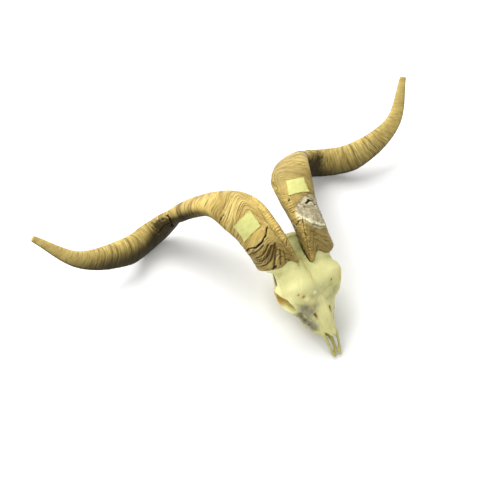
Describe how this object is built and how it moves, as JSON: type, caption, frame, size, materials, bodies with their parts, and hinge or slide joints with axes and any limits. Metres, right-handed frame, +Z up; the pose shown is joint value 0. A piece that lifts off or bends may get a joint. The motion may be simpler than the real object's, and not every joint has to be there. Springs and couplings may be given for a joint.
{
  "type": "goat skull",
  "caption": "Life-size skull of an adult billy goat with long twisted horns that sweep out wide and blank paper labels, lying as it rests on a table.",
  "frame": {"origin": "on the floor, under the middle of the skull with its horns", "axes": "+X towards the animal's left, +Y from the snout to the back of the skull, +Z up"},
  "size_m": [0.8519, 0.4395, 0.1949],
  "materials": {
    "bone": "dry cream bone",
    "horn": "rough brown keratin",
    "paper": "matt yellowed paper"
  },
  "bodies": {
    "root": {"cranium": "bone", "horn_left": "horn", "horn_right": "horn", "label_left": "paper", "label_right": "paper"}
  },
  "joints": []
}
